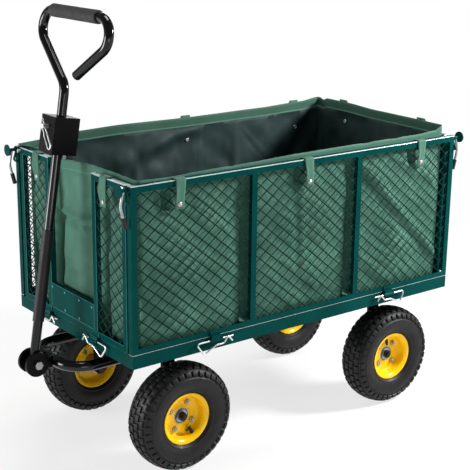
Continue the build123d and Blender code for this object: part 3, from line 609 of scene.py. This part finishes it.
folds = {
    "left": [
        (-0.296, 0.6415, -0.137, 0.5536, 0.016, 0.0045),
        (-0.2095, 0.3988, -0.163, 0.3622, 0.010, 0.0035),
        (0.0386, 0.640, 0.0505, 0.440, 0.010, 0.0040),
        (0.2434, 0.6621, 0.515, 0.3960, 0.011, 0.0080),
        (-0.420, 0.500, -0.330, 0.380, 0.014, 0.0035),
        (0.080, 0.400, 0.190, 0.365, 0.012, 0.0035),
        (0.240, 0.430, 0.330, 0.360, 0.012, 0.0035),
        (0.360, 0.660, 0.500, 0.600, 0.014, 0.0040),
    ],
    "right": [
        (0.100, 0.590, 0.100, 0.715, 0.004, -0.0035),
        (0.210, 0.708, 0.335, 0.593, 0.004, -0.0035),
        (-0.156, 0.631, 0.077, 0.708, 0.022, -0.0150),
        (0.400, 0.600, 0.480, 0.715, 0.016, -0.0060),
        (-0.330, 0.690, -0.200, 0.560, 0.016, -0.0060),
    ],
    "front": [
        (0.0299, 0.5814, 0.0235, 0.7037, 0.007, 0.0050),
        (-0.075, 0.5872, 0.025, 0.5825, 0.008, 0.0080),
        (0.025, 0.5825, 0.110, 0.5790, 0.008, 0.0080),
        (-0.0325, 0.5574, 0.021, 0.5762, 0.007, 0.0040),
        (0.096, 0.565, 0.099, 0.395, 0.006, 0.0070),
        (-0.080, 0.470, 0.060, 0.455, 0.012, 0.0040),
        (-0.200, 0.640, -0.130, 0.520, 0.012, 0.0040),
    ],
    "rear": [
        (0.200, 0.480, 0.214, 0.735, 0.009, -0.0100),
        (-0.150, 0.700, 0.020, 0.600, 0.018, -0.0060),
    ],
}
tucks = {
    "left": [
        (-0.11633, 0.335, 0.700, 0.021, 0.036), (0.20933, 0.335, 0.700, 0.019, 0.036),
        (-0.342, 0.645, 0.703, 0.014, 0.022), (0.032, 0.655, 0.703, 0.012, 0.018),
        (0.404, 0.655, 0.703, 0.012, 0.018),
    ],
    "front": [(-0.113, 0.335, 0.660, 0.016, 0.036), (0.102, 0.335, 0.580, 0.013, 0.036)],
}
snaps = {
    "left": [(-0.318, 0.665), (0.054, 0.665), (0.426, 0.662)],
    "right": [(-0.318, 0.669), (0.0595, 0.669), (0.438, 0.662)],
    "front": [(-0.150, 0.665), (0.150, 0.665)], "rear": [(-0.134, 0.679), (0.134, 0.679)],
}


def swell(value, low, high, blunt):
    """Rise and fall between two limits, 0 outside them."""
    return math.sin(math.pi * (value - low) / (high - low)) ** blunt if low < value < high else 0.0


def ease(value, low, high):
    """Smooth step from 0 at low to 1 at high."""
    t = min(max((value - low) / (high - low), 0.0), 1.0)
    return t * t * (3 - 2 * t)


def hem_height(wall, along):
    """Height of the liner's mouth, eased from point to point."""
    for (low, start), (high, end) in zip(hems[wall], hems[wall][1:]):
        if along <= high:
            return start + (end - start) * ease(along, low, high)
    return hems[wall][-1][1]


def hem_rise(wall, along, height):
    """How far the cloth at one place is drawn up or down to meet the hem."""
    return ease(height, hem_start, liner_high.z) * (hem_height(wall, along) - liner_high.z)


def crease(along, height, fold):
    """Ridge with a hollow under it along one line of a wall."""
    x0, z0, x1, z1, width, rise = fold
    line = Vector((x1 - x0, z1 - z0))
    spot = Vector((along - x0, height - z0))
    t = min(max(spot.dot(line) / line.length_squared, 0.0), 1.0)
    near = (spot - line * t).length
    side = (line.x * spot.y - line.y * spot.x) / line.length
    taper = math.sin(math.pi * (0.12 + 0.76 * t)) ** 0.5
    ridge = math.exp(-((near / width) ** 2))
    hollow = math.exp(-(((side + 1.7 * width) / (1.3 * width)) ** 2) - (near / (4 * width)) ** 2)
    return rise * taper * (ridge - 0.7 * hollow)


def wall_relief(wall, along, height):
    """How far a liner wall stands out from its plain place, short of the mesh."""
    tall = swell(height, 0.345, 0.702, 0.5)
    full = max(swell(along, low, high, 0.5) for low, high in bays[wall])
    seed = len(wall) * 3.0
    crumple = noise.noise(Vector((along * 8, height * 6, seed))) * 0.0070
    crumple += noise.noise(Vector((along * 17 + height * 12, height * 15, seed + 5))) * 0.0048
    crumple += noise.noise(Vector((along * 40, height * 34, seed + 9))) * 0.0016
    folded = sum(crease(along, height, fold) for fold in folds[wall])
    drawn = 0.0
    for place, stud in snaps[wall]:
        drawn += math.exp(-(((along - place) ** 2 + (height - stud) ** 2) / 0.0005))
    tucked = 0.0
    for place, foot, top, width, depth in tucks.get(wall, []):
        near = 1 - ease(abs(along - place), 0.4 * width, width)
        tucked += depth * near * swell(height, foot, top, 0.35)
    bagged = (0.0115 * full - 0.0055) * tall
    out = bagged + 0.002 * drawn + (folded + crumple) * ease(full * tall, 0.0, 0.4)
    room = 0.0115 if wall in ("left", "right") else 0.017
    return min(out - tucked, room)


def wall_of(out):
    """Name of the wall that faces a direction."""
    if abs(out.y) > abs(out.x):
        return "left" if out.y < 0 else "right"
    return "front" if out.x < 0 else "rear"


work = bmesh.new()
bmesh.ops.create_cube(work, size=1)
stretch = Matrix.Diagonal((*(liner_high - liner_low), 1))
work.transform(Matrix.Translation((liner_low + liner_high) / 2) @ stretch)
bmesh.ops.delete(work, geom=[f for f in work.faces if f.normal.z > 0.5], context="FACES_ONLY")
round_off(work, [e for e in work.edges if len(e.link_faces) == 2], corner_round, 3)
for axis, cuts in ((0, 140), (1, 72), (2, 60)):
    long_edges = []
    for edge in work.edges:
        run = abs((edge.verts[0].co - edge.verts[1].co)[axis])
        if run > 0.2 and edge.calc_length() < run + 1e-5:
            long_edges.append(edge)
    bmesh.ops.subdivide_edges(work, edges=long_edges, cuts=cuts, use_grid_fill=True)
bmesh.ops.recalc_face_normals(work, faces=work.faces)
work.normal_update()
unwrap = work.loops.layers.uv.new("cloth")
hem_band = []
for face in work.faces:
    for loop in face.loops:
        spot = loop.vert.co
        if abs(face.normal.z) > 0.7:
            loop[unwrap].uv = (spot.x, spot.y)
        else:
            sideways = abs(face.normal.y) > abs(face.normal.x)
            loop[unwrap].uv = (spot.x if sideways else spot.y, spot.z)
    if face.calc_center_median().z > liner_high.z - hem_depth:
        face.material_index = 1
        hem_band.append(face)
corner_pull = Vector((-0.034, 0.017, -0.006))
moves = {}
for vert in work.verts:
    spot, out = vert.co, vert.normal
    flat = Vector((out.x, out.y, 0))
    if flat.length < 0.6:
        moves[vert] = Vector((0, 0, 0.0006 * (1 + noise.noise(spot * 14))))
        continue
    wall = wall_of(flat)
    along = spot.x if wall in ("left", "right") else spot.y
    square = ease(max(abs(out.x), abs(out.y)), 0.9, 1.0)
    rise = hem_rise(wall, along, spot.z)
    stand = flat.normalized() * wall_relief(wall, along, spot.z) * square
    from_corner = max(spot.x - liner_low.x, liner_high.y - spot.y)
    nearby = 1 - ease(from_corner, 0.010, 0.075)
    over_rail = ease(spot.z + rise, 0.7125, 0.7240)
    moves[vert] = stand + Vector((0, 0, rise)) + corner_pull * nearby * over_rail
for vert, move in moves.items():
    vert.co += move
bmesh.ops.inset_region(work, faces=hem_band, thickness=0.0006, depth=0.0012, use_boundary=False)
thread_pitch = 0.0012
hem_seam = 0.7045
seam_reach = 0.0011


def cloth_finish(name, dark, light, dull, weave, seam=0.0):
    """Coated cloth on its flat unwrap: plain weave, soft crumples, fading, perhaps a pale seam."""
    finish, tree, skin, place = new_finish(name)
    flat = tree.nodes.new("ShaderNodeUVMap")
    flat.uv_map = "cloth"
    split = tree.nodes.new("ShaderNodeSeparateXYZ")
    tree.links.new(flat.outputs["UV"], split.inputs["Vector"])

    def sum_of(kind, first, second, third=0.0):
        """Result of a maths node, with each input a number or an output."""
        node = tree.nodes.new("ShaderNodeMath")
        node.operation = kind
        for socket, value in zip(node.inputs, (first, second, third)):
            if isinstance(value, float):
                socket.default_value = value
            else:
                tree.links.new(value, socket)
        return node.outputs["Value"]

    threads = []
    for axis in "XY":
        phase = sum_of("MULTIPLY", split.outputs[axis], math.pi / thread_pitch)
        threads.append(sum_of("SINE", phase, 0.0))
    crumple = grain(tree, place, 55, 4)
    height = sum_of("MULTIPLY_ADD", sum_of("MULTIPLY", *threads), weave, crumple)
    tone = shade(tree, grain(tree, place, 9, 5), dark, light)
    if seam:
        paler = tree.nodes.new("ShaderNodeMix")
        paler.data_type = "RGBA"
        on_seam = sum_of("COMPARE", split.outputs["Y"], seam, seam_reach)
        tree.links.new(on_seam, paler.inputs["Factor"])
        tree.links.new(tone, paler.inputs["A"])
        paler.inputs["B"].default_value = (light[0] * 1.5, light[1] * 1.4, light[2] * 1.4, 1)
        tone = paler.outputs["Result"]
    tree.links.new(tone, skin.inputs["Base Color"])
    patchy = between(tree, grain(tree, place, 24, 4), dull - 0.08, dull + 0.08)
    tree.links.new(patchy, skin.inputs["Roughness"])
    tree.links.new(relief(tree, height, 0.35, 0.0015), skin.inputs["Normal"])
    skin.inputs["Specular IOR Level"].default_value = 0.16
    return finish


sage_cloth = cloth_finish("sage_cloth", (0.040, 0.114, 0.080), (0.072, 0.184, 0.133), 0.7, 0.08)
sage_hem = cloth_finish(
    "sage_hem", (0.046, 0.124, 0.090), (0.062, 0.160, 0.116), 0.7, 0.08, hem_seam
)
# The inside face of the hem is a darker copy of the hem cloth, painted shade for the inside of the
# bag.
hem_inside_shaded = cloth_finish(
    "hem_inside_shaded", (0.030, 0.082, 0.058), (0.044, 0.112, 0.081), 0.7, 0.08, hem_seam
)
dark_coat = cloth_finish("dark_coat", (0.014, 0.030, 0.028), (0.022, 0.042, 0.040), 0.62, 0.05)
liner = make_piece(work, "liner_bag", "chassis", [sage_cloth, sage_hem, dark_coat, hem_inside_shaded], 70)
thick = liner.modifiers.new("cloth", "SOLIDIFY")
thick.thickness = cloth_thickness
thick.offset = -1
thick.material_offset = 2
thick.material_offset_rim = 0
stand_in(liner, "liner")

# The press studs that fasten the straps go through the cloth, and their backs show inside the liner
# as small pressed discs of zinc-plated steel.
back_half = [
    (0.0001, 0.0014), (0.0030, 0.0014), (0.0036, 0.0020), (0.0052, 0.0018), (0.0060, 0.0006),
    (0.0060, 0.0),
]
wall_planes = {
    "left": (0, -1, 0.2415), "right": (0, 1, 0.2415),
    "front": (-1, 0, 0.4145), "rear": (1, 0, 0.5225),
}
backs = bmesh.new()
for wall, places in snaps.items():
    out_x, out_y, plane = wall_planes[wall]
    for along, height in places:
        depth = plane + wall_relief(wall, along, height) - cloth_thickness
        spot = Vector((out_x * depth, out_y * depth, height + hem_rise(wall, along, height)))
        spot[0 if out_y else 1] = along
        disc = bmesh.new()
        turn_round(disc, outline(disc, back_half), 20)
        facing = Vector((0, 1, 0)).rotation_difference(Vector((-out_x, -out_y, 0)))
        disc.transform(Matrix.Translation(spot) @ facing.to_matrix().to_4x4())
        gather(backs, disc)
make_piece(backs, "stud_backs", "chassis", [zinc])

# Ten straps of the same cloth are sewn to the hem, loop over the top rails and close outside with
# a press stud, whose pressed cap shows at the end. They lie a little askew, one edge lifted, and
# those on the right and at the rear stand up over the higher hem.
strap_thickness = 0.0014
flat_over_path = 1.07  # fitted, so that the flat area agrees with the mesh's, cut edges included
strap_crown = 0.714
stud_height = 0.657
strap_places = {
    "left": (0.259, [-0.372, 0.0, 0.372], 0), "right": (0.259, [-0.372, 0.0, 0.372], 180),
    "front": (0.496, [-0.150, 0.150], -90), "rear": (0.496, [-0.150, 0.150], 90),
}
snap_half = [
    (0.0001, 0.0030), (0.0016, 0.0029), (0.0022, 0.0024), (0.0036, 0.0026), (0.0050, 0.0022),
    (0.0060, 0.0010), (0.0060, 0.0),
]
snug_loop = [(0.0158, 0.7090), (0.0155, 0.7128), (0.0140, 0.7142), (0.0075, 0.7147)]
strap_drop = [
    (-0.0005, 0.7142), (-0.0022, 0.7128), (-0.0026, 0.7080), (-0.0030, 0.6980), (-0.0032, 0.6880),
    (-0.0029, 0.6770), (-0.0026, 0.6660), (-0.0022, 0.6560), (-0.0024, 0.6460),
]


def standing_loop(crown):
    """Start of a strap that stands up over the high hem before it drops to the rail."""
    return [
        (0.0158, crown - 0.0120), (0.0157, crown - 0.0030), (0.0145, crown),
        (0.0120, crown - 0.0010), (0.0080, crown - 0.0080), (0.0035, 0.7180),
    ]


for panel, (reach, places, turn) in strap_places.items():
    straps = bmesh.new()
    studs = bmesh.new()
    total = 0.0
    for number, place in enumerate(places):
        path = snug_loop + strap_drop
        if panel == "right":
            path = standing_loop(hem_height(panel, bed_middle - place) + 0.0055) + strap_drop
        elif panel == "rear":
            path = standing_loop(hem_height(panel, place) + 0.0025) + strap_drop
        total += flat_over_path * sum(math.dist(a, b) for a, b in zip(path, path[1:]))
        lean = 0.0035 * math.sin(4.0 * number + 1.0 + turn)
        strap = bmesh.new()
        bmesh.ops.create_grid(strap, x_segments=6, y_segments=len(path) - 1, size=1)
        for vert in strap.verts:
            side = vert.co.x
            inward, z = path[round((vert.co.y + 1) / 2 * (len(path) - 1))]
            fall = ease(strap_crown - z, 0.0, 0.055)
            lift = math.sin(math.pi * ease(strap_crown - z, 0.004, 0.062))
            lifted = 0.0045 * max(-side, 0.0) ** 2 * lift
            x = place + side * (0.0135 - 0.0014 * fall) + lean * (1 - fall)
            vert.co = (x, inward - reach - lifted, z)
        gather(straps, strap)
        stud = bmesh.new()
        turn_round(stud, outline(stud, snap_half), 24)
        seat = Matrix.Translation((place, -reach - 0.0022, stud_height))
        stud.transform(seat @ Matrix.Rotation(math.pi, 4, "Z"))
        gather(studs, stud)
    bmesh.ops.recalc_face_normals(straps, faces=straps.faces)
    flat = straps.loops.layers.uv.new("cloth")
    for face in straps.faces:
        for loop in face.loops:
            loop[flat].uv = (loop.vert.co.x, loop.vert.co.z + loop.vert.co.y)
    straps.transform(round_bed(turn))
    studs.transform(round_bed(turn))
    band = make_piece(straps, panel + "_strap_bands", panel + "_panel", [sage_hem], 60)
    ply = band.modifiers.new("cloth", "SOLIDIFY")
    ply.thickness = strap_thickness
    ply.offset = -1
    stand_in(band, panel + "_straps")
    caps = make_piece(studs, panel + "_stud_caps", panel + "_panel", [dull_zinc])
    stand_in(caps, panel + "_snaps")

# The stage: a plain white floor that keeps the cart's shadow, soft studio light from above, behind
# and both sides, and the camera where the photograph was taken from.
bpy.ops.mesh.primitive_plane_add(size=120, location=(0, 0, 0))
floor = bpy.context.object
floor.name = "floor"


def seen_directly(tree):
    """1 for a ray from the camera or off a mirror or through glass, else 0."""
    rays = tree.nodes.new("ShaderNodeLightPath")
    total = rays.outputs["Is Camera Ray"]
    for kind in ("Is Glossy Ray", "Is Transmission Ray"):
        either = tree.nodes.new("ShaderNodeMath")
        either.operation = "MAXIMUM"
        tree.links.new(total, either.inputs[0])
        tree.links.new(rays.outputs[kind], either.inputs[1])
        total = either.outputs["Value"]
    return total


paper, tree, sheet, place = new_finish("paper")
sheet.inputs["Base Color"].default_value = (0.9, 0.9, 0.9, 1)
sheet.inputs["Roughness"].default_value = 0.9
away = tree.nodes.new("ShaderNodeVectorMath")
away.operation = "LENGTH"
tree.links.new(place, away.inputs[0])
fade = tree.nodes.new("ShaderNodeMapRange")
fade.inputs["From Min"].default_value = 0.7
fade.inputs["From Max"].default_value = 2.2
fade.inputs["To Min"].default_value = 0.72
fade.inputs["To Max"].default_value = 1.0
tree.links.new(away.outputs["Value"], fade.inputs["Value"])
share = tree.nodes.new("ShaderNodeMath")
share.operation = "MULTIPLY"
tree.links.new(seen_directly(tree), share.inputs[0])
tree.links.new(fade.outputs["Result"], share.inputs[1])
mix = tree.nodes.new("ShaderNodeMixShader")
tree.links.new(share.outputs["Value"], mix.inputs["Fac"])
tree.links.new(sheet.outputs["BSDF"], mix.inputs[1])
tree.links.new(tree.nodes.new("ShaderNodeEmission").outputs["Emission"], mix.inputs[2])
tree.links.new(mix.outputs["Shader"], tree.nodes["Material Output"].inputs["Surface"])
floor.data.materials.append(paper)

scene = bpy.context.scene
scene.view_settings.view_transform = "Standard"
world = bpy.data.worlds.new("studio")
world.use_nodes = True
sky = world.node_tree.nodes["Background"]
sky.inputs["Color"].default_value = (1, 1, 1, 1)
sky.inputs["Strength"].default_value = 0.17
scene.world = world
lamps = [
    ("key", (1.6, -1.1, 1.5), (0.35, 0.35), 76),
    ("left", (-2.8, 1.0, 0.8), (1.2, 1.1), 68),
    ("top", (0.0, 0.2, 3.4), (1.2, 1.2), 50),
    ("back", (1.9, 2.4, 1.6), (2.2, 0.7), 28),
    ("fill", (-1.2, -2.4, 0.5), (0.9, 0.5), 8),
]
lit_spot = Vector((0, 0, 0.45))
for name, spot, (across, tall), power in lamps:
    lamp = bpy.data.lights.new(name, "AREA")
    lamp.shape = "RECTANGLE"
    lamp.size = across
    lamp.size_y = tall
    lamp.energy = power
    holder = bpy.data.objects.new(name, lamp)
    holder.location = spot
    holder.rotation_euler = (lit_spot - Vector(spot)).to_track_quat("-Z", "Y").to_euler()
    holder.visible_camera = False
    scene.collection.objects.link(holder)
eye = Vector((-1.7022, -2.2501, 1.2864))
aim = Vector((-0.05915, -0.12216, 0.51264))
tilt = Quaternion((0, 0, 1), math.radians(0.73))
lens = bpy.data.cameras.new("camera")
lens.sensor_width = 36
lens.lens = 88.63
camera = bpy.data.objects.new("camera", lens)
camera.location = eye
camera.rotation_mode = "QUATERNION"
camera.rotation_quaternion = (aim - eye).to_track_quat("-Z", "Y") @ tilt
scene.collection.objects.link(camera)
scene.camera = camera
